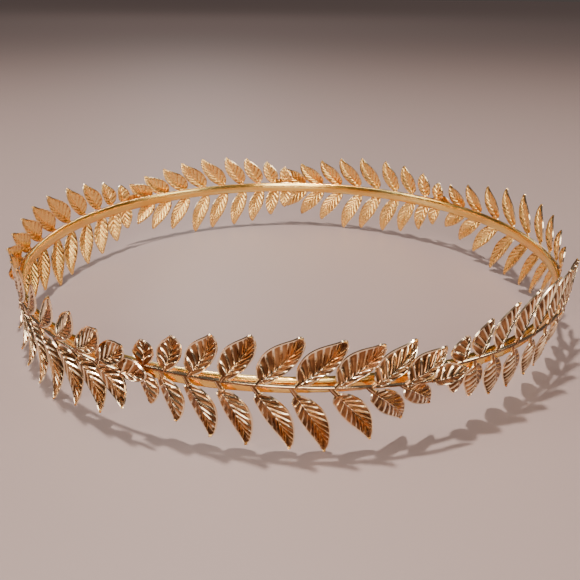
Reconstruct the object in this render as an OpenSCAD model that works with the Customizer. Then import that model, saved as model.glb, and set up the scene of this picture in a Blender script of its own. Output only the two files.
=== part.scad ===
// Laurel wreath crown: seven stamped sprays of leaves, seated round the outside of a plain flat band.
// Millimetres, +Z up, the wearer's forehead towards -Y, the floor at Z = 0.
// Every spray grows anticlockwise seen from above. Its last leaf passes outside the start of the next spray.
// The crown stands on the tips of its longest lower leaves.

/* [Band] */
// Inner diameter of the band
head_d = 170; // [150:1:190]
// Height of the band
band_h = 4; // [3:0.1:6]
// Thickness of the band's strip
band_t = 1; // [0.8:0.1:1.6]
// Rounding of the band's four long edges
band_edge_r = 0.35; // [0.1:0.05:0.38]

/* [Stem] */
// Length of a stem along the band, from its first pair of leaves to its last leaf
stem_len = 67; // [60:0.5:72]
// Breadth of the stem, seen from outside
stem_w = 1.3; // [0.8:0.1:2]
// Thickness of the stem, outwards from the band
stem_t = 1.1; // [0.8:0.1:1.6]
// Bare stub of stem before the first pair of leaves
stub_len = 1.2; // [0.5:0.1:2]
// Gap between the stem and the band that carries it
seat_gap = 0.1; // [0.05:0.05:0.3]
// Height of the stem's start over the middle of the band
stem_rise = 1.3; // [0.5:0.1:1.8]
// How far the stem comes down again by its last leaf
stem_fall = 1.7; // [0.5:0.1:2.5]
// How far the stem's last leaf stands out past its first pair, clear of the next spray
flare = 1.9; // [1.7:0.1:3]

/* [Leaves] */
// Length of the longest upper leaf, with its stalk
leaf_len = 16.4; // [12:0.2:18]
// Breadth of the broadest blade
leaf_w = 6.7; // [4:0.1:7.5]
// Thickness of a leaf under its midrib, from which it thins to its rim
leaf_t = 0.8; // [0.5:0.05:1.2]
// Length of the bare stalk of the longest upper leaf
upper_stalk = 1.7; // [1.2:0.1:3]
// Length of the bare stalk of a lower leaf as long as that one
lower_stalk = 2.5; // [1.5:0.1:4]
// Breadth of a leaf's stalk
stalk_w = 1.1; // [0.8:0.1:1.6]
// How far the longest leaf's midrib bows, sickle-wise, towards the stem's growing end
bow = 1.1; // [0:0.1:2]
// How far a blade's rim falls back from its midrib, at the broadest place
fold = 0.9; // [0.3:0.1:1.2]
// Height of a side vein over the hollows beside it
vein_h = 0.3; // [0.1:0.05:0.5]
// Distance between side veins along the midrib
vein_pitch = 2.5; // [2:0.1:4]
// Lean of the upper leaves outwards, in degrees
upper_lean = 0; // [-2:0.5:4]
// Lean of the lower leaves inwards, under the band, in degrees
lower_lean = 6; // [3:0.5:8]

/* [Hidden] */

// The sprays, each bent and fitted by hand: where it starts round the band, in degrees, its stem's
// length as a share of stem_len, how far its upper leaves are bent up, in degrees, the length of its
// lower leaves as a share of the usual one, how far their tips are curled in, in degrees, and how much
// further those of its last pairs are.
START = 0;
STRETCH = 1;
LIFT = 2;
REACH = 3;
CURL = 4;
TUCK = 5;
SPRAYS = [
    [247.2, 1.00, 0, 1.00, 0, 13],
    [297.7, 1.00, 5, 0.90, 7, 0],
    [349.5, 1.17, 4, 0.95, 7, -7],
    [45.1, 1.01, 2, 1.00, 0, -6],
    [91.8, 1.00, 0, 1.00, 0, 0],
    [142.4, 1.08, 0, 1.00, 4, 0],
    [198.0, 1.01, 0, 0.97, -10, 0],
];
// How many pairs at a stem's end are its last ones
TUCKED = 2;

// The pairs of leaves along a stem: their place as a share of the stem's length, then the length of
// the upper and the lower leaf as shares of leaf_len and their slopes from the stem, in degrees.
PLACE = 0;
UPPER_LEN = 1;
UPPER_SLOPE = 2;
LOWER_LEN = 3;
LOWER_SLOPE = 4;
PAIRS = [
    [0.000, 0.43, 88, 0.64, -81],
    [0.080, 0.62, 73, 0.86, -79],
    [0.170, 0.80, 62, 1.05, -72],
    [0.285, 0.88, 60, 1.12, -70],
    [0.405, 0.99, 52, 1.19, -64],
    [0.535, 0.98, 49, 1.21, -66],
    [0.665, 0.91, 47, 1.10, -56],
    [0.790, 0.86, 41, 1.04, -50],
    [0.905, 0.76, 36, 0.84, -42],
];
// Length and slope of the last leaf, which carries on along the stem
LAST_LEN = 0.56;
LAST_SLOPE = 10;
// A lower leaf joins the stem this share of the stem's length before its upper partner
LOWER_LAG = 0.018;
// Breadth of a short blade: the part of leaf_w that stays however short the leaf is
BROAD_KEPT = 0.6;
// The halves of a blade, behind its midrib and before it as the stem grows: the breadth of each as a
// share of leaf_w, and the powers of its outline's hump, low where it is blunt and high where it is drawn
// out, first at the stalk and then at the tip
HALF = 0;
BASE = 1;
TIP = 2;
UPPER_BACK = [0.64, 0.75, 1.05];
UPPER_FRONT = [0.36, 0.75, 0.75];
LOWER_BACK = [0.48, 0.75, 0.9];
LOWER_FRONT = [0.43, 0.75, 0.9];
// How a curl grows towards a leaf's tip, as a power of the distance from the stem
CURL_POWER = 2.5;
// Powers of the midrib's bow, which is strongest past the middle
BOW_BASE = 1.5;
BOW_TIP = 0.8;
// How much closer together the side veins leave the midrib near the stalk, as a power
VEIN_CROWD = 1.2;
// Thickness under the midrib at the tip, as a share of that at the stalk
TIP_THIN = 0.5;
// Share of a vein's height that shows at the midrib
RIB_SHARE = 0.3;
// Breadth and thickness of the stem at its last leaf, as a share of those at its start
STEM_TAPER = 0.75;
// How the stem drifts outwards: late, so that its first half lies along the band
FLARE_POWER = 2;
// How far a leaf's middle lies outside the stem's, as a share of the stem's thickness
LEAF_SEAT = 0.25;
// Breadth and thickness of a stalk's root inside the stem, as shares of the stalk's own, and how deep
// the root lies under the leaf's plane, as a share of leaf_t
ROOT_SHARE = 0.4;
ROOT_SINK = 0.25;
// Corners of the stem's section: how far out each lies, as a share of its thickness, and how far up,
// as a share of its breadth. The second corner is the keel and the fourth lies against the band.
OUT = 0;
UP = 1;
STEM_CORNERS = [
    [-0.25, 0.5],
    [0.5, 0],
    [-0.25, -0.5],
    [-0.5, 0],
];
ROUND_FN = 180;
EDGE_FN = 48;

head_r = head_d / 2;
band_r = head_r + band_t;
seat_r = band_r + seat_gap + stem_t / 2;
stem_arc = stem_len / seat_r * 180 / PI;
stub_share = stub_len / stem_len;

// The stem's line: how far it stands out, and its height over the middle of the band
function stem_r(place) = seat_r + flare * pow(max(place, 0), FLARE_POWER);
function stem_z(place) = stem_rise - stem_fall * max(place, 0);
function stem_scale(place) = 1 - (1 - STEM_TAPER) * max(place, 0);

// Length of a spray's lower leaf of a given pair, and how far its tip is curled in, under the band
function lower_len(row, i) = leaf_len * PAIRS[i][LOWER_LEN] * row[REACH];
function lower_curl(row, i) =
    lower_len(row, i) * tan(row[CURL] + (i < len(PAIRS) - TUCKED ? 0 : row[TUCK]));

// The crown stands on its lowest leaf tips, which sets how high the band is over the floor
function tip_drop(row, i) =
    -(lower_len(row, i) * cos(lower_lean) - lower_curl(row, i) * sin(lower_lean)) * sin(PAIRS[i][LOWER_SLOPE])
    - stem_z(PAIRS[i][PLACE] - LOWER_LAG);
band_z = max([for (row = SPRAYS, i = [0 : len(PAIRS) - 1]) tip_drop(row, i)]);

// A hump between 0 and 1 that is 1 at its highest
function raw_hump(along, base, tip) = pow(along, base) * pow(1 - along, tip);
function hump(along, base, tip) = raw_hump(along, base, tip) / raw_hump(base / (base + tip), base, tip);

// Breadth of a half of a blade at a share of its length, as a share of leaf_w
function half_breadth(half, along) = half[HALF] * hump(along, half[BASE], half[TIP]);

// How far a curled leaf has left its plane at a share of its length, as a share of its curl
function curled(along) = pow(along, CURL_POWER);

// How far a leaf's midrib stands off the straight line to its tip, as a share of its bow
function bowed(along) = hump(along, BOW_BASE, BOW_TIP);

// Where the vein that leaves the midrib at a share of the blade's length meets the rim
function vein_end(along) = along * (2 - along);

// Sections across a leaf, from the stem to just short of its tip. Each is [midrib x, rim x, midrib
// height, thickness, vein height, breadth to the left of the midrib, breadth to its right].
function leaf_sections(length, stalk, breadth, left, right, steps) = concat(
    [
        [
            0,
            0,
            -leaf_t * ROOT_SINK,
            leaf_t * ROOT_SHARE,
            -leaf_t * (ROOT_SINK + ROOT_SHARE / 2),
            stalk_w / 2 * ROOT_SHARE,
            stalk_w / 2 * ROOT_SHARE,
        ],
        [stalk, stalk, leaf_t / 2, leaf_t, 0, stalk_w / 2, stalk_w / 2],
    ],
    [
        for (i = [1 : steps - 1])
            let (
                along = i / steps,
                rim = vein_end(along),
                blade = length - stalk,
                thick = leaf_t * (1 - (1 - TIP_THIN) * along),
                ridge = (i % 2 == 1 ? 1 : -1) * vein_h / 2
            )
            [
                stalk + blade * pow(along, VEIN_CROWD),
                stalk + blade * rim,
                thick / 2 + ridge * RIB_SHARE,
                thick,
                ridge,
                breadth * half_breadth(left, rim),
                breadth * half_breadth(right, rim),
            ]
    ]
);

// Height of a blade's rim: it falls back from the midrib the more the broader the blade is there, and
// rises and falls with the veins
function rim_height(vein, breadth, whole) = vein * min(breadth / whole, 1) - fold * breadth / whole;

// One leaf, lying along +X from the stem, its veined face to +Z: a closed sheet, thickest under the
// midrib and brought to an edge at its rim, pleated along its side veins. It bows to -Y if side is 1,
// as an upper leaf does, and to +Y if side is -1. Its tip is curled to -Z by the given length.
module leaf(length, side, curl) {
    share = length / leaf_len;
    sag = side * bow * share;
    stalk = (side > 0 ? upper_stalk : lower_stalk) * share;
    breadth = leaf_w * (BROAD_KEPT + (1 - BROAD_KEPT) * min(share, 1));
    left = side > 0 ? UPPER_BACK : LOWER_FRONT;
    right = side > 0 ? UPPER_FRONT : LOWER_BACK;
    veins = max(3, round((length - stalk) / vein_pitch));
    sections = leaf_sections(length, stalk, breadth, left, right, 2 * veins + 1);
    count = len(sections);
    corners = [
        for (i = [0 : count - 1])
            let (
                s = sections[i],
                rim_y = -sag * bowed(s[1] / length),
                rib_y = -sag * bowed(s[0] / length),
                rim_z = -curl * curled(s[1] / length),
                rib_z = -curl * curled(s[0] / length),
                bare = i < 2
            )
            each [
                [s[1], rim_y + s[5], rim_z + (bare ? s[4] : rim_height(s[4], s[5], leaf_w / 2))],
                [s[0], rib_y, rib_z + s[2]],
                [s[1], rim_y - s[6], rim_z + (bare ? s[4] : rim_height(s[4], s[6], leaf_w / 2))],
                [s[0], rib_y, rib_z + s[2] - s[3]],
            ]
    ];
    tip = 4 * count;
    polyhedron(
        points = concat(corners, [[length, 0, -curl]]),
        faces = concat(
            [[0, 1, 3], [1, 2, 3]],
            [
                for (i = [0 : count - 2], j = [0 : 3])
                    let (a = 4 * i + j, b = 4 * i + (j + 1) % 4)
                    each [[a, a + 4, b], [b, a + 4, b + 4]]
            ],
            [for (j = [0 : 3]) [tip - 4 + j, tip, tip - 4 + (j + 1) % 4]]
        )
    );
}

// Carries a piece to a place on a stem of the given arc, turned to the stem's own tangent
module on_stem(place, arc) {
    rotate([0, 0, arc * place])
        translate([stem_r(place), 0, band_z + stem_z(place)])
            rotate([90, 0, 90])
                children();
}

// A leaf that leaves the stem at a slope, upwards if side is 1 and downwards if it is -1, leans
// outwards by some degrees and is curled in at its tip
module stem_leaf(place, arc, length, slope, lean, side, curl) {
    on_stem(place, arc)
        translate([0, 0, stem_t * LEAF_SEAT * stem_scale(place)])
            rotate([0, 0, slope])
                rotate([0, -lean, 0])
                    leaf(length, side, curl);
}

// The corners of the stem's section at a place
function stem_section(place, arc) = [
    for (corner = STEM_CORNERS)
        let (
            r = stem_r(place) + stem_t * corner[OUT] * stem_scale(place),
            z = band_z + stem_z(place) + stem_w * corner[UP] * stem_scale(place)
        )
        [r * cos(arc * place), r * sin(arc * place), z]
];

// The stem, tapering from its stub to its last leaf, bent between one pair of leaves and the next
module stem(arc) {
    bends = [
        for (i = [1 : len(PAIRS) - 1])
            (PAIRS[i - 1][PLACE] + PAIRS[i][PLACE] - LOWER_LAG) / 2
    ];
    places = concat([-stub_share], bends, [(PAIRS[len(PAIRS) - 1][PLACE] + 1) / 2, 1]);
    for (i = [0 : len(places) - 2])
        hull()
            polyhedron(
                points = concat(stem_section(places[i], arc), stem_section(places[i + 1], arc)),
                faces = [[0, 1, 2, 3], [7, 6, 5, 4]]
            );
}

// One spray: a stem with its pairs of leaves and its last leaf, all one piece
module spray(row) {
    arc = stem_arc * row[STRETCH];
    rotate([0, 0, row[START]]) {
        stem(arc);
        for (i = [0 : len(PAIRS) - 1]) {
            pair = PAIRS[i];
            stem_leaf(
                pair[PLACE],
                arc,
                leaf_len * pair[UPPER_LEN],
                min(pair[UPPER_SLOPE] + row[LIFT], 90),
                upper_lean,
                1,
                0
            );
            stem_leaf(
                pair[PLACE] - LOWER_LAG,
                arc,
                lower_len(row, i),
                pair[LOWER_SLOPE],
                -lower_lean,
                -1,
                lower_curl(row, i)
            );
        }
        stem_leaf(1, arc, leaf_len * LAST_LEN, LAST_SLOPE, upper_lean, 1, 0);
    }
}

// Half of the band's cross section keeps a flat face inside and out between its rounded edges
module band_profile() {
    for (x = [head_r + band_edge_r, band_r - band_edge_r], z = [-1, 1])
        translate([x, z * (band_h / 2 - band_edge_r)])
            circle(r = band_edge_r, $fn = EDGE_FN);
    translate([head_r, band_edge_r - band_h / 2])
        square([band_t, band_h - 2 * band_edge_r]);
    translate([head_r + band_edge_r, -band_h / 2])
        square([band_t - 2 * band_edge_r, band_h]);
}

// The plain closed ring that goes round the head
module band() {
    color("goldenrod")
        translate([0, 0, band_z])
            rotate_extrude($fn = ROUND_FN)
                band_profile();
}

module spray_front() {
    color("gold") spray(SPRAYS[0]);
}

module spray_front_right() {
    color("gold") spray(SPRAYS[1]);
}

module spray_right() {
    color("gold") spray(SPRAYS[2]);
}

module spray_back_right() {
    color("gold") spray(SPRAYS[3]);
}

module spray_back_left() {
    color("gold") spray(SPRAYS[4]);
}

module spray_left() {
    color("gold") spray(SPRAYS[5]);
}

module spray_front_left() {
    color("gold") spray(SPRAYS[6]);
}

band();
spray_front();
spray_front_right();
spray_right();
spray_back_right();
spray_back_left();
spray_left();
spray_front_left();
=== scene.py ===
# %% [markdown]
# # A laurel wreath crown
# The crown is a plain flat band with seven sprays of laurel leaves seated round its outside, one after the
# other. The solid model of it is loaded first. The band's solid already has the right shape and only needs
# a finish. The sprays are made again here, because a stamped leaf shows fine veins that a solid model
# leaves out.

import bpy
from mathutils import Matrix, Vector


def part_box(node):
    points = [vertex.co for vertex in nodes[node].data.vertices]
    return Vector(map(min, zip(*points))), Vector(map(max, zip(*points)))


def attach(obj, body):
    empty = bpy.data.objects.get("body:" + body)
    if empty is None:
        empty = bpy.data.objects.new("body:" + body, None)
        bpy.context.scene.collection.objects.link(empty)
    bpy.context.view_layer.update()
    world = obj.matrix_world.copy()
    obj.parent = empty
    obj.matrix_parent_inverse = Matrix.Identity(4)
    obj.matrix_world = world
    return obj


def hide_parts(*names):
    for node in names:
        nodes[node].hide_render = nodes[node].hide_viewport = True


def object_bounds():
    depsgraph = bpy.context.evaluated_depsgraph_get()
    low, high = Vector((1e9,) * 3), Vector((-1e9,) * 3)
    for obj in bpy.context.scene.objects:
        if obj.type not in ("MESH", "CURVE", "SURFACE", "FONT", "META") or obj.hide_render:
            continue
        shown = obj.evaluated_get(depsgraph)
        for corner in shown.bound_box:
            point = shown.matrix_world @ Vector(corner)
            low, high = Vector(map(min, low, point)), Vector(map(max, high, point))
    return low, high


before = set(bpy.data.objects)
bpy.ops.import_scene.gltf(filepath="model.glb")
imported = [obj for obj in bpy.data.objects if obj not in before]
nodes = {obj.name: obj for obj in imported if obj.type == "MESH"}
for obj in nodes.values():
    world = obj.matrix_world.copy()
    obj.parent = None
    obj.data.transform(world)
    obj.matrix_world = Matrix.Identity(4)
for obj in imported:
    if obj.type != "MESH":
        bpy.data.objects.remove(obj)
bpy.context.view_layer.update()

import math
import bmesh
import bpy
from mathutils import Matrix, Vector

MM = 0.001


def in_mm(corners):
    return [[round(v / MM, 1) for v in corner] for corner in corners]


print("solids:", sorted(nodes))

# %% [markdown]
# ## Where the band is
# Every spray sits on the band, so the band's middle and radius come first. They could be typed in, but they
# are taken from the solid's own box, so that nothing about its place is written twice.

# %% Place of the band
band_low, band_high = (Vector(corner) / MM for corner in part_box("band"))
BAND_Z = (band_low.z + band_high.z) / 2
BAND_R = (band_high.x - band_low.x) / 2
print("band: radius %.2f mm, middle %.2f mm over the floor" % (BAND_R, BAND_Z))

# %% [markdown]
# ## The pairs of leaves
# All seven sprays come from one stamping die, so their leaves are written down once. A row is one pair: its
# place as a share of the stem's length, then the length and slope of the upper leaf and of the lower one. A
# length is a share of the longest upper leaf's, as a maker would note it, and a slope is in degrees.

# %% Table of the leaves
LEAF_LEN = 16.4
PAIRS = [
    (0.000, 0.43, 88, 0.64, -81),
    (0.080, 0.62, 73, 0.86, -79),
    (0.170, 0.80, 62, 1.05, -72),
    (0.285, 0.88, 60, 1.12, -70),
    (0.405, 0.99, 52, 1.19, -64),
    (0.535, 0.98, 49, 1.21, -66),
    (0.665, 0.91, 47, 1.10, -56),
    (0.790, 0.86, 41, 1.04, -50),
    (0.905, 0.76, 36, 0.84, -42),
]
# The last leaf carries on along the stem.
LAST_LEN, LAST_SLOPE = 0.56, 10
# A lower leaf joins the stem a little before its upper partner.
LOWER_LAG = 0.018
longest = LEAF_LEN * max(lower_len for _, _, _, lower_len, _ in PAIRS)
print("a spray has", 2 * len(PAIRS) + 1, "leaves, the longest %.1f mm" % longest)

# %% [markdown]
# ## The seven sprays
# The sprays differ because each was bent and soldered by hand. A row is one of them: where it starts round
# the band, how far its stem is stretched, how far its upper leaves are bent up, how long its lower leaves
# are, how far their tips are curled in under the band, and how much further those of its last two pairs
# are.

# %% Table of the sprays
SPRAYS = {
    "spray_front": (247.2, 1.00, 0, 1.00, 0, 13),
    "spray_front_right": (297.7, 1.00, 5, 0.90, 7, 0),
    "spray_right": (349.5, 1.17, 4, 0.95, 7, -7),
    "spray_back_right": (45.1, 1.01, 2, 1.00, 0, -6),
    "spray_back_left": (91.8, 1.00, 0, 1.00, 0, 0),
    "spray_left": (142.4, 1.08, 0, 1.00, 4, 0),
    "spray_front_left": (198.0, 1.01, 0, 0.97, -10, 0),
}
TUCKED = 2
# How far the lower leaves of a spray are twisted about their midribs, in degrees.
TWIST = {"spray_left": 22, "spray_front_left": -14}
# The tip of an upper leaf bends in by this share of the leaf's length. It is negative, so the tip comes out.
UPPER_CURL = -0.045
# Some upper leaves were pushed back in use: spray and pair, and the share that their tips bend in.
PUSHED_BACK = {("spray_front", 7): 0.22, ("spray_front", 8): 0.12}
print(len(SPRAYS), "sprays, starting at", [row[0] for row in SPRAYS.values()])

# %% [markdown]
# ## The stem's line
# A stem lies on the band at its start and drifts outwards, so that its last leaf passes outside the next
# spray. It rises a little over the band's middle and comes down again. It could be drawn as a curve for
# each spray. One rule for all of them is shorter, and the leaves can ask the same rule where they grow.

# %% Place on a stem
STEM_LEN, STEM_W, STEM_T, STEM_TAPER, STUB = 67.0, 1.3, 1.1, 0.75, 1.2
STEM_RISE, STEM_FALL, FLARE, SEAT_GAP = 1.3, 1.7, 1.9, 0.1
SEAT_R = BAND_R + SEAT_GAP + STEM_T / 2
STEM_ARC = math.degrees(STEM_LEN / SEAT_R)
# A leaf and a stem are drawn with x along the stem, y up and z out.
STEM_AXES = Matrix(((0, 0, 1, 0), (1, 0, 0, 0), (0, 1, 0, 0), (0, 0, 0, 1)))


def stem_out(place):
    return SEAT_R + FLARE * max(place, 0) ** 2


def stem_up(place):
    return STEM_RISE - STEM_FALL * max(place, 0)


def on_stem(start, arc, place):
    """Carries a piece to its place on a stem."""
    turn = Matrix.Rotation(math.radians(start + arc * place), 4, "Z")
    shift = Matrix.Translation((stem_out(place), 0, BAND_Z + stem_up(place)))
    return turn @ shift @ STEM_AXES


print("a stem spans %.1f degrees, its end %.1f mm further out" % (STEM_ARC, stem_out(1) - stem_out(0)))

# %% [markdown]
# ## Writing a finish as an expression
# A finish is a small sum over the surface: a bit of this colour in the hollows, a bit of that on the
# crests. The nodes for it could be added and linked one by one, but the sum is then hard to read. The class
# below wraps a socket, so that the sum is written in Python and adds its own Math nodes.

# %% Shader maths
FACTOR, COLOUR_A, COLOUR_B = 0, 6, 7
MIXED_COLOUR = 2


class Shade:
    """One output of a node. Adding and multiplying such outputs adds Math nodes."""

    def __init__(self, tree, socket=None):
        self.tree, self.socket = tree, socket

    def node(self, kind, settings, inputs, out=0):
        made_node = self.tree.nodes.new(kind)
        for setting, value in settings.items():
            setattr(made_node, setting, value)
        for name, value in inputs.items():
            if isinstance(value, Shade):
                self.tree.links.new(value.socket, made_node.inputs[name])
            else:
                made_node.inputs[name].default_value = value
        return Shade(self.tree, made_node.outputs[out] if made_node.outputs else None)

    def maths(self, operation, a, b):
        return self.node("ShaderNodeMath", {"operation": operation}, {0: a, 1: b})

    def __add__(self, other):
        return self.maths("ADD", self, other)

    def __sub__(self, other):
        return self.maths("SUBTRACT", self, other)

    def __rsub__(self, other):
        return self.maths("SUBTRACT", other, self)

    def __mul__(self, other):
        return self.maths("MULTIPLY", self, other)

    __radd__, __rmul__ = __add__, __mul__

    def span(self, low, high):
        """0 under low, 1 over high and even between."""
        return self.node("ShaderNodeMapRange", {}, {0: self, 1: low, 2: high, 3: 0.0, 4: 1.0})

    def blend(self, a, b):
        """Colour a where this is 0 and colour b where it is 1."""
        inputs = {FACTOR: self, COLOUR_A: a, COLOUR_B: b}
        return self.node("ShaderNodeMix", {"data_type": "RGBA"}, inputs, out=MIXED_COLOUR)

    def noise(self, scale, detail):
        """A cloudy pattern over the piece's own coordinates."""
        return self.node("ShaderNodeTexNoise", {}, {"Vector": self, "Scale": scale, "Detail": detail})


print("maths for finishes:", [name for name in vars(Shade) if not name.startswith("_")])

# %% [markdown]
# ## Gilt
# All of the crown is brass with a thin warm gold plating. A single metal colour would look like plastic,
# because plated metal is never one flat colour: the plating is thinner and redder in places, dull where
# fingers touched it, and finely scratched where it was wiped. Noise of three sizes gives these. Each finish
# below starts from them and adds what its own surface shows.

# %% Make a finish
RED_CLOUD = (0.72, 0.3, 0.12, 1)
CLOUD_SCALE, BLOTCH_SCALE, SPECK_SCALE = 90.0, 420.0, 2600.0


def finish(name, shade):
    """A metal from a function that takes the piece's own coordinates and gives its colour, its roughness, its
    height and how deep a height of 1 is."""
    material = bpy.data.materials.new(name)
    material.use_nodes = True
    tree = material.node_tree
    tree.nodes.clear()
    start = Shade(tree)
    colour, rough, height, depth = shade(start.node("ShaderNodeTexCoord", {}, {}, out="Object"))
    bump = start.node("ShaderNodeBump", {}, {"Strength": 1.0, "Distance": depth, "Height": height})
    skin_inputs = {"Base Color": colour, "Metallic": 1.0, "Roughness": rough, "Normal": bump}
    skin = start.node("ShaderNodeBsdfPrincipled", {}, skin_inputs)
    start.node("ShaderNodeOutputMaterial", {}, {"Surface": skin})
    print(name, "has", len(tree.nodes), "nodes")
    return material


def worn(spot, tone):
    """Plating that is redder in clouds, and the two finer noises that dull and scratch it."""
    cloud = spot.noise(CLOUD_SCALE, 3.0).span(0.52, 0.75) * 0.35
    return cloud.blend(tone, RED_CLOUD), spot.noise(BLOTCH_SCALE, 4.0), spot.noise(SPECK_SCALE, 2.0)


def relief_of(spot):
    """The number that a leaf keeps at each of its points: 0 in a hollow, 1 on a vein and 2 on the rim."""
    return spot.node("ShaderNodeAttribute", {"attribute_name": "relief"}, {}, out="Fac")


# %% [markdown]
# On the outside of a leaf the hollows between the veins are painted dark brown as painted shade, and the
# veins and the rim are painted pale gold as painted highlights. A pattern of stripes would slide over the
# veins, so the tones follow the leaf's own relief.

# %% The outside of a leaf
# Tones for the painted shade in the hollows, which varies in patches, and for the painted highlight on the
# crests.
HOLLOW_SHADE_DARK, HOLLOW_SHADE_WARM, CREST_HIGHLIGHT = (0.13, 0.055, 0.022, 1), (0.5, 0.25, 0.105, 1), (1.0, 0.8, 0.54, 1)
PATCH_SCALE, OUTSIDE_GRAIN = 260.0, 0.01 * MM


def stamped(spot):
    patch = spot.noise(PATCH_SCALE, 2.0)
    # Painted shade in the hollows and a painted highlight on the veins and rim, blended by the leaf's relief.
    raised = (relief_of(spot) + (patch - 0.5) * 0.3).span(0.25, 0.7)
    hollow = patch.span(0.38, 0.68).blend(HOLLOW_SHADE_DARK, HOLLOW_SHADE_WARM)
    tone, blotch, speck = worn(spot, raised.blend(hollow, CREST_HIGHLIGHT))
    return tone, 0.24 - 0.06 * raised + (blotch - 0.5) * 0.12, speck * 0.4 + blotch, OUTSIDE_GRAIN


leaf_gilt = finish("stamped_gilt", stamped)

# %% [markdown]
# The back of a leaf was never polished. There the veins are creases, which are painted dark as painted shade,
# and it is the pleats between them that stand out, with a satin gleam. The thin rim is painted pale gold on
# this side too, as a painted highlight.

# %% The back of a leaf
# The crease colour is painted shade and the rim colour a painted highlight.
PLEAT_GOLD, CREASE_SHADE_RED, RIM_HIGHLIGHT_GOLD = (1.0, 0.62, 0.21, 1), (0.5, 0.15, 0.025, 1), (1.0, 0.85, 0.55, 1)
BACK_GRAIN = 0.03 * MM


def satin(spot):
    relief = relief_of(spot)
    # Painted shade in the creases and a painted highlight on the rim.
    crease, rim = relief.span(0.15, 0.75), relief.span(1.1, 1.6)
    tone, blotch, speck = worn(spot, rim.blend(crease.blend(PLEAT_GOLD, CREASE_SHADE_RED), RIM_HIGHLIGHT_GOLD))
    return tone, 0.27 + (blotch - 0.5) * 0.14, speck + blotch * 0.6, BACK_GRAIN


back_gilt = finish("satin_gilt", satin)

# %% [markdown]
# The band is a rolled strip, so its faces are a touch domed, and the rollers left fine streaks along it.
# Both could be cut into its mesh, but they are a few hundredths of a millimetre deep, so they go into the
# height of its finish: a square of the distance from its middle, and a noise that is drawn out along the
# strip.

# %% The band
BAND_DEEP, BAND_PALE = (1.0, 0.52, 0.1, 1), (1.0, 0.76, 0.28, 1)
DOME, STREAK_DEPTH, STREAK_SCALE, DRAWN_OUT = 0.12, 0.12, 900.0, (0.06, 0.06, 1.0)


def rolled(spot):
    up = spot.node("ShaderNodeSeparateXYZ", {}, {0: spot}, out="Z") * (1 / MM) - BAND_Z
    stretched = spot.node("ShaderNodeMapping", {}, {"Vector": spot, "Scale": DRAWN_OUT})
    streak = stretched.noise(STREAK_SCALE, 3.0)
    tone, blotch, speck = worn(spot, streak.span(0.35, 0.65).blend(BAND_DEEP, BAND_PALE))
    height = up * up * -DOME + streak * STREAK_DEPTH + blotch * 0.02
    return tone, 0.22 + (streak - 0.5) * 0.15 + (blotch - 0.5) * 0.1, height, MM


band_gilt = finish("band_gilt", rolled)

# %% [markdown]
# ## A helper for the edit mode tools
# An operator acts on whatever is selected, and the solids are selected when they are loaded. So everything
# is deselected before a new piece is added.

# %% Start from nothing selected
def alone(obj=None):
    bpy.ops.object.select_all(action="DESELECT")
    if obj:
        obj.select_set(True)
        bpy.context.view_layer.objects.active = obj


alone()
print("selected:", len(bpy.context.selected_objects))

# %% [markdown]
# ## The outline of a leaf
# A laurel leaf has a midrib and two unequal halves, and it bows like a sickle towards the stem's growing
# end. The outline of each half is a hump over the midrib: a low power at its end makes that end blunt, and
# a high one draws it out. The same hump, with other powers, bows the midrib.

# %% Outline of a leaf
LEAF_W, BROAD_KEPT, BOW, BOW_POWERS = 6.7, 0.6, 1.1, (1.5, 0.8)
UPPER_STALK, LOWER_STALK, STALK_W = 1.7, 2.5, 1.1
# The half of a blade behind its midrib and the half before it: breadth, then powers at stalk and at tip.
UPPER_HALVES = ((0.64, 0.75, 1.05), (0.36, 0.75, 0.75))
LOWER_HALVES = ((0.48, 0.75, 0.9), (0.43, 0.75, 0.9))


def hump(along, base, tip):
    """A curve that is 0 at both ends of a blade and 1 at its broadest place."""
    along = min(max(along, 0.0), 1.0)
    top = base / (base + tip)
    return (along / top) ** base * ((1 - along) / (1 - top)) ** tip


def stalk_len(length, side):
    return (UPPER_STALK if side > 0 else LOWER_STALK) * length / LEAF_LEN


for half_share, base, tip in UPPER_HALVES + LOWER_HALVES:
    print("a half of %.1f mm is broadest at %.2f of the blade" % (half_share * LEAF_W, base / (base + tip)))

# %% [markdown]
# ## The pleats
# A stamped leaf is a flat blank of sheet that a die presses into pleats. It could be modelled vein by vein,
# but a grid that is pressed by a rule comes closer to the real thing: its rows run along the side veins,
# which leave the midrib at a slant and lean towards the tip, and its columns run from rim to rim. Between
# two veins the blade is hollowed, so a vein is a sharp bright crest. Rows lie closer together at the
# crests, where the form turns fast.

# %% Rows, columns and crests of a leaf
STALK_ROWS, TIP_ROWS = [-1.0, -0.6, -0.25, 0.0], [0.985, 0.995, 1.0]
CREST_STEPS = (0.0, 0.09, 0.2, 0.36, 0.5, 0.64, 0.8, 0.91)
HALF_ACROSS = (0.05, 0.14, 0.32, 0.54, 0.76, 0.92, 0.965, 1)
ACROSS = [-out for out in reversed(HALF_ACROSS)] + [0] + list(HALF_ACROSS)
VEIN_PITCH, VEIN_LEAST, CREST_POWER = 1.6, 4, 2.6


def ramp(value, low=0.0, high=1.0):
    return min(1.0, max(0.0, (value - low) / (high - low)))


def crest(phase):
    """1 on a vein and 0 in the middle of the hollow beside it."""
    return abs(2 * phase - 1) ** CREST_POWER


def vein_count(length, side):
    return max(VEIN_LEAST, round((length - stalk_len(length, side)) / VEIN_PITCH))


def leaf_rows(length, side):
    veins = vein_count(length, side)
    rows = [(vein + step) / veins for vein in range(veins) for step in CREST_STEPS if vein + step > 0]
    return STALK_ROWS + rows + TIP_ROWS


print("the longest upper leaf:", vein_count(LEAF_LEN, 1), "veins,", len(leaf_rows(LEAF_LEN, 1)), "rows")

# %% [markdown]
# ## The die
# The rule below is the die: it says where each point of the grid goes along the leaf, across it and how
# proud it stands. The first rows are the bare stalk, a low ridge with a thin lip along each side.

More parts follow.
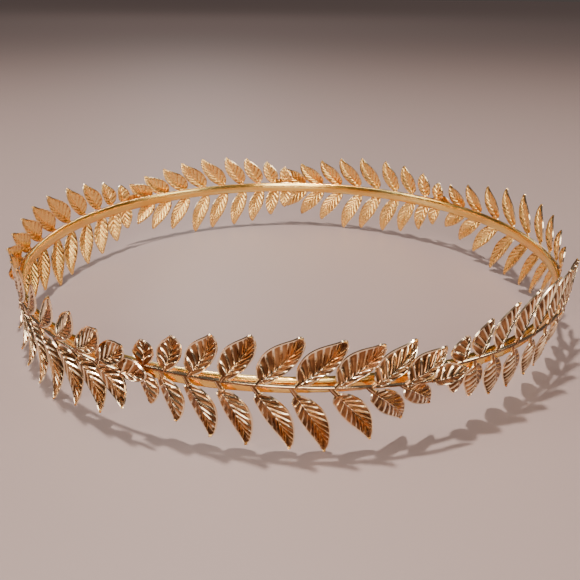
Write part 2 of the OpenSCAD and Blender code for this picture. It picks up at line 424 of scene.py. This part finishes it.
# %% Press the stalk
RIB_TOP = 0.28
RIM_EDGE, STALK_RIDGE = 0.955, 0.06
STALK_DROP, STALK_ROUND, STALK_LIP, ROOT_SHARE = 0.34, 1.5, 0.08, 0.8


def stalk_point(stalk, along, across):
    """Where a point of the stalk goes, in mm, and its relief. along runs from -1 at the stem to 0."""
    out = abs(across)
    x = stalk * (1 + along)
    y = across * STALK_W / 2 * (ROOT_SHARE + (1 - ROOT_SHARE) * (1 + along))
    z = RIB_TOP - STALK_DROP * out ** STALK_ROUND + STALK_LIP * (out > RIM_EDGE)
    return x, y, z, max(2.0 * (out > RIM_EDGE), 0.7 * (out < STALK_RIDGE))


print("a stalk's ridge stands %.2f mm over its sides" % STALK_DROP)

# %% [markdown]
# The blade falls back from its midrib, and its veins rise and fall on that slope. They start beside the
# midrib, fade before the rim, so that the rim stays a clean line, and fade again towards the stalk and the
# tip. The midrib is a fine ridge, and the rim a thin raised edge.

# %% Press the blade
UPPER_FOLD, LOWER_FOLD, FOLD_POWER = 0.9, 1.25, 1.35
VEIN_H, VEIN_CROWD, VEIN_SLANT, CREST_LEVEL = 0.55, 1.2, 0.85, 0.36
VEINS_FROM, VEINS_FADE, VEINS_TO = 0.16, 0.74, 0.93
MIDRIB_H, MIDRIB_HALF, MIDRIB_LINE = 0.26, 0.1, 0.04
RIM_H, RIM_FROM, RIM_TIP, RIM_SLOPE = 0.2, 0.9, 0.2, 4
# The tip is rounded over about a millimetre, and the blade's root is as broad as the stalk.
TIP_ROUND, TIP_REACH, TIP_FADE = 0.5, 1.2, 3.2
ROOT_VEINS, ROOT_NARROW = 1.2, 0.2


def blade_point(length, side, along, across):
    """Where a point of the blade goes, in mm, and its relief. along runs from 0 to 1 at the tip."""
    out, veins, stalk = abs(across), vein_count(length, side), stalk_len(length, side)
    blade = length - stalk
    back, front = UPPER_HALVES if side > 0 else LOWER_HALVES
    half_share, base, tip = back if (across > 0) == (side > 0) else front
    rib, rim = along ** VEIN_CROWD, along * (2 - along)
    x = stalk + blade * (rib + (rim - rib) * out ** VEIN_SLANT)
    breadth = LEAF_W * (BROAD_KEPT + (1 - BROAD_KEPT) * ramp(length / LEAF_LEN))
    short = blade * (1 - rim)
    rounding = math.sqrt(2 * TIP_ROUND * short * math.exp(-short / TIP_REACH))
    wide = math.hypot(breadth * half_share * hump(rim, base, tip), rounding)
    root = STALK_W / 2 * (1 - ramp(along * veins / ROOT_VEINS)) * (1 - out * ROOT_NARROW)
    y = math.copysign(out * wide, across) + across * root
    fade = ramp(along * veins) * ramp((1 - along) * TIP_FADE)
    phase = (along * veins) % 1
    beside_rib = 1 - (1 - ramp(out, 0, VEINS_FROM)) ** 2
    z = RIB_TOP - (UPPER_FOLD if side > 0 else LOWER_FOLD) * wide / LEAF_W * 2 * out ** FOLD_POWER
    z += VEIN_H * (crest(phase) - CREST_LEVEL) * fade * beside_rib * (1 - ramp(out, VEINS_FADE, VEINS_TO))
    z += MIDRIB_H * (1 - ramp(out, 0, MIDRIB_HALF)) * (1 - along)
    z += RIM_H * ramp(out, RIM_FROM) * min(1, RIM_SLOPE * (1 - along) + RIM_TIP)
    on_crest = crest(phase) * fade * ramp(out, 0, MIDRIB_HALF)
    return x, y, z, max(on_crest, 2.0 * (out > RIM_EDGE), 1.0 * (out < MIDRIB_LINE))


print("a vein of the longest upper leaf rises", VEIN_H, "mm over the hollow beside it")

# %% [markdown]
# Stalk and blade have one midrib, and it bows like a sickle. The bow is added last, to both at once, so
# that nothing breaks where the blade starts.

# %% Press any point of a leaf
def leaf_point(length, side, along, across):
    """Where a point of the leaf goes, in mm, and its relief."""
    if along <= 0:
        x, y, z, relief = stalk_point(stalk_len(length, side), along, across)
    else:
        x, y, z, relief = blade_point(length, side, along, across)
    sag = side * BOW * length / LEAF_LEN * hump(x / length, *BOW_POWERS)
    return Vector((x, y - sag, z)), float(relief)


print("the middle of the longest upper leaf:", [round(v, 2) for v in leaf_point(LEAF_LEN, 1, 0.5, 0)[0]])

# %% [markdown]
# ## Pressing the blank
# The blank is a grid primitive. It is added flat, one square a row and column, and each of its points is
# sent to its place. The points at the tip all fall together, and are merged. The blade then gets the
# thickness of its sheet from a Solidify modifier, which also makes the back a true copy of the front: a
# hollow on one side is a bulge on the other.

# %% Make a leaf
SHEET_T = 0.42
MERGE_WITHIN = 0.01 * MM


def note_relief(piece, values):
    """Keeps one number a point on the mesh, which the finish reads later."""
    layer = piece.data.attributes.new("relief", "FLOAT", "POINT")
    layer.data.foreach_set("value", values)


def press(leaf, rows, length, side):
    """Sends each point of the flat grid to its place on the leaf."""
    reliefs = []
    for vertex in leaf.data.vertices:
        row = round((vertex.co.x + 1) / 2 * (len(rows) - 1))
        column = round((vertex.co.y + 1) / 2 * (len(ACROSS) - 1))
        point, relief = leaf_point(length, side, rows[row], ACROSS[column])
        vertex.co = point * MM
        reliefs.append(relief)
    note_relief(leaf, reliefs)


def make_leaf(name, length, side):
    rows = leaf_rows(length, side)
    alone()
    bpy.ops.mesh.primitive_grid_add(x_subdivisions=len(rows) - 1, y_subdivisions=len(ACROSS) - 1, size=2)
    leaf = bpy.context.active_object
    leaf.name = name
    for gilt in (leaf_gilt, back_gilt):
        leaf.data.materials.append(gilt)
    press(leaf, rows, length, side)
    bpy.ops.object.mode_set(mode="EDIT")
    bpy.ops.mesh.select_all(action="SELECT")
    bpy.ops.mesh.remove_doubles(threshold=MERGE_WITHIN)
    bpy.ops.mesh.normals_make_consistent(inside=False)
    bpy.ops.object.mode_set(mode="OBJECT")
    if sum(face.normal.z for face in leaf.data.polygons) < 0:
        leaf.data.flip_normals()
    sheet = leaf.modifiers.new("sheet", "SOLIDIFY")
    sheet.thickness = SHEET_T * MM
    sheet.offset = -1
    sheet.use_even_offset = False
    sheet.material_offset = 1
    bpy.ops.object.modifier_apply(modifier=sheet.name)
    return leaf


sample = make_leaf("leaf_sample", LEAF_LEN, 1)
print("the longest upper leaf has", len(sample.data.polygons), "faces")

# %% [markdown]
# ## The stem
# The stem is a thin keeled wire. A curve with a bevel would give it one round section from end to end, but
# it is keeled and tapers. So it starts as a cylinder primitive along X, whose long edges are subdivided so
# that it can follow the band, and each of its rings is then sent to its place on the stem's line.

# %% Make a stem
STEM_SIDES, STEM_CUTS, KEEL = 10, 70, 0.35


def make_stem(name, start, arc):
    alone()
    bpy.ops.mesh.primitive_cylinder_add(vertices=STEM_SIDES, radius=1, depth=2, rotation=(0, math.pi / 2, 0))
    stem = bpy.context.active_object
    stem.name = name
    bpy.ops.object.transform_apply(location=False, rotation=True, scale=False)
    bpy.ops.object.mode_set(mode="EDIT")
    edit = bmesh.from_edit_mesh(stem.data)
    for edge in edit.edges:
        a, b = edge.verts
        edge.select_set(abs(a.co.x - b.co.x) > 1)
    bmesh.update_edit_mesh(stem.data)
    bpy.ops.mesh.subdivide(number_cuts=STEM_CUTS)
    bpy.ops.object.mode_set(mode="OBJECT")
    stem.data.materials.append(leaf_gilt)
    # Painted highlights: the upper side gets the bright crest tone, and the lower one nearly so, while the
    # middle keeps the painted shade of the hollows.
    note_relief(stem, [1.0 * (v.co.y > 0.5) + 0.8 * (v.co.y < -0.7) for v in stem.data.vertices])
    stub = STUB / STEM_LEN
    for vertex in stem.data.vertices:
        place = -stub + (vertex.co.x + 1) / 2 * (1 + stub)
        thin = 1 - (1 - STEM_TAPER) * max(place, 0)
        out = vertex.co.z * STEM_T / 2
        up = vertex.co.y * STEM_W / 2 * (1 - KEEL * max(0, vertex.co.z))
        vertex.co = on_stem(start, arc, place) @ Vector((0, up * thin, out * thin)) * MM
    return stem


print("a stem is %.1f mm broad at its start and %.1f mm at its end" % (STEM_W, STEM_W * STEM_TAPER))

# %% [markdown]
# ## Placing a leaf
# Each leaf is pressed once and copied to all the sprays, each copy with its own mesh. A copy is twisted and
# curled along its length, as fingers do it: the further from the stem, the more. It is then turned to its
# slope and its lean and carried to its place on the stem.

# %% Copy a leaf to its place
LEAF_SEAT, LOWER_LEAN, CURL_POWER = 0.28, 6.0, 2.5
# The twist is full from this share of the leaf's length on.
TWIST_FULL = 0.5
pressed = {}


def place_leaf(name, length, side, slope, curl, twist, place, start, arc):
    key = (round(length, 2), side)
    if key not in pressed:
        pressed[key] = make_leaf("leaf_%d" % len(pressed), length, side)
    leaf = pressed[key].copy()
    leaf.data = pressed[key].data.copy()
    leaf.name = name
    bpy.context.collection.objects.link(leaf)
    for vertex in leaf.data.vertices:
        share = max(vertex.co.x, 0) / (length * MM)
        turned = Matrix.Rotation(math.radians(twist) * min(1, share / TWIST_FULL), 3, "X") @ vertex.co
        vertex.co = turned + Vector((0, 0, -curl * MM * share ** CURL_POWER))
    lean = 0 if side > 0 else LOWER_LEAN
    seat = Matrix.Translation((0, 0, LEAF_SEAT))
    turn = Matrix.Rotation(math.radians(slope), 4, "Z") @ Matrix.Rotation(math.radians(lean), 4, "Y")
    leaf.matrix_world = (
        Matrix.Scale(MM, 4) @ on_stem(start, arc, place) @ seat @ turn @ Matrix.Scale(1 / MM, 4)
    )
    return leaf


print("a lower leaf leans in by", LOWER_LEAN, "degrees")

# %% [markdown]
# ## A spray
# On the real stamping the leaves and the stem are one piece of metal, so all of them are joined here.
# Leaves that all stood alike would shine alike, so each is twisted by a few degrees of its own. They could
# be drawn at random, but a sine of the leaf's number, in uneven steps, gives the same ones at every run.

# %% Make the sprays
TWIST_MOST, PAIR_STEP, SIDE_STEP, SPRAY_STEP = 6, 12.9, 37.7, 4.1
SMOOTH_UNDER = 50


def twist_of(name, i, side):
    """A few degrees either way, on top of the spray's own twist."""
    own = TWIST_MOST * math.sin(PAIR_STEP * i + SIDE_STEP * side + len(name) * SPRAY_STEP)
    return own + (TWIST.get(name, 0) if side < 0 else 0)


def spray_leaves(name):
    """All the leaves of a spray, at their places."""
    start, stretch, lift, reach, curl, tuck = SPRAYS[name]
    arc = STEM_ARC * stretch
    leaves = []
    for i, (place, upper_len, upper_slope, lower_len, lower_slope) in enumerate(PAIRS):
        length = LEAF_LEN * upper_len
        bend = PUSHED_BACK.get((name, i), UPPER_CURL) * length
        slope = min(upper_slope + lift, 90)
        leaves.append(place_leaf("upper", length, 1, slope, bend, twist_of(name, i, 1), place, start, arc))
        length = LEAF_LEN * lower_len * reach
        bend = length * math.tan(math.radians(curl + (tuck if i >= len(PAIRS) - TUCKED else 0)))
        spot, twist = place - LOWER_LAG, twist_of(name, i, -1)
        leaves.append(place_leaf("lower", length, -1, lower_slope, bend, twist, spot, start, arc))
    return leaves + [place_leaf("last", LEAF_LEN * LAST_LEN, 1, LAST_SLOPE, 0, 0, 1, start, arc)]


def make_spray(name):
    start, stretch = SPRAYS[name][:2]
    stem = make_stem(name + "_leaves", start, STEM_ARC * stretch)
    leaves = spray_leaves(name)
    alone(stem)
    for leaf in leaves:
        leaf.select_set(True)
    bpy.ops.object.transform_apply(location=True, rotation=True, scale=True)
    bpy.ops.object.join()
    bpy.ops.object.shade_smooth_by_angle(angle=math.radians(SMOOTH_UNDER))
    return stem


sprays = {name: make_spray(name) for name in SPRAYS}
for leaf in [sample] + list(pressed.values()):
    bpy.data.objects.remove(leaf)
for name, spray in sprays.items():
    print(name, len(spray.data.polygons), "faces, box mm", in_mm((spray.bound_box[0], spray.bound_box[6])))

# %% [markdown]
# ## Dressing the solids
# A new spray stands for the solid of its name, which stays hidden, and is hung under the root body. The
# band's solid is right as it is: its edges are rounded and its section is plain. It only gets its finish.

# %% Put the finishes on
for name, spray in sprays.items():
    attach(spray, "root")
    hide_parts(name)
for slot in nodes["band"].material_slots:
    slot.material = band_gilt
print("dressed:", sorted(sprays), "and the band")

# %% [markdown]
# ## The floor
# The crown stands by itself on a plain pale floor. The plane is wide, so that its edge stays out of sight
# from every side. It lies a hair under the lowest leaf tips, because two faces in one plane would flicker.

# %% Floor
FLOOR_SIZE, FLOOR_GAP, PALE = 40.0, 0.05 * MM, (0.3, 0.215, 0.195, 1)
alone()
bpy.ops.mesh.primitive_plane_add(size=FLOOR_SIZE, location=(0, 0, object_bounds()[0][2] - FLOOR_GAP))
floor = bpy.context.active_object
floor.name = "floor"
pale = bpy.data.materials.new("pale_floor")
pale.use_nodes = True
plain = pale.node_tree.nodes["Principled BSDF"]
plain.inputs["Base Color"].default_value = PALE
plain.inputs["Roughness"].default_value = 0.45
floor.data.materials.append(pale)
print("the floor lies at %.3f mm" % (floor.location.z / MM))

# %% [markdown]
# ## The lamps
# Metal shows its surroundings, so the lamps make most of its look. The small dark leaf shapes of the
# crown's shadow lie close under it, a little towards the camera and to the right, so the main lamp is small
# and hangs almost straight above. A wide panel at the left gives the folded leaves there their glare, a
# weaker one at the right lights the inner faces across from it, and one low in front makes the pleats at
# the back shine. A glow far behind edges the rims and the band with light, and a weak even light keeps the
# far floor pale. Those two cast no shadow, so that the main lamp's stays the one that is seen.

# %% Lamps
world = bpy.data.worlds.new("studio")
bpy.context.scene.world = world
world.use_nodes = True
room = world.node_tree.nodes["Background"]
room.inputs["Color"].default_value = (0.6, 0.5, 0.46, 1)
room.inputs["Strength"].default_value = 0.12


def lamp(kind, name, place, power, tint=(1.0, 1.0, 1.0)):
    """A lamp that is turned to the crown."""
    alone()
    bpy.ops.object.light_add(type=kind, location=place)
    light = bpy.context.active_object
    light.name = name
    light.data.energy = power
    light.data.color = tint
    light.rotation_euler = (-Vector(place)).to_track_quat("-Z", "Y").to_euler()
    return light.data


lamp("AREA", "overhead", (-0.1, 0.04, 1.0), 15.0, (1.0, 0.95, 0.9)).size = 0.05
lamp("AREA", "left_panel", (-0.9, -0.25, 0.6), 4.6, (1.0, 0.95, 0.88)).size = 0.42
lamp("AREA", "right_panel", (0.85, -0.35, 0.5), 3.0, (1.0, 0.94, 0.86)).size = 0.4
lamp("AREA", "front_panel", (0.0, -0.72, 0.32), 4.2, (1.0, 0.94, 0.86)).size = 0.36
lamp("POINT", "back_glow", (-0.4, 2.6, 1.6), 24.0).use_shadow = False
lamp("SUN", "far_light", (0.0, 0.0, 3.0), 0.6).use_shadow = False

# %% [markdown]
# ## The camera
# The camera stands close in front of the crown and a little above it, so the near side looks much larger
# than the far side. Its place was found from the two edges of the band in the photograph.

# %% Camera
CAMERA_BACK, CAMERA_UP, CAMERA_TURN = 0.2167, 0.0801, (66.54, -0.54, 0.28)
bpy.ops.object.camera_add(location=(0, -CAMERA_BACK, BAND_Z * MM + CAMERA_UP))
camera = bpy.context.active_object
camera.name = "camera"
camera.data.sensor_width = 36
camera.data.lens = 42.2
camera.rotation_euler = [math.radians(turn) for turn in CAMERA_TURN]
bpy.context.scene.camera = camera
print("camera: %.0f mm in front of the middle, %.0f mm up" % (CAMERA_BACK / MM, camera.location.z / MM))

# %% [markdown]
# The dressed crown must stay inside the solids' own box.
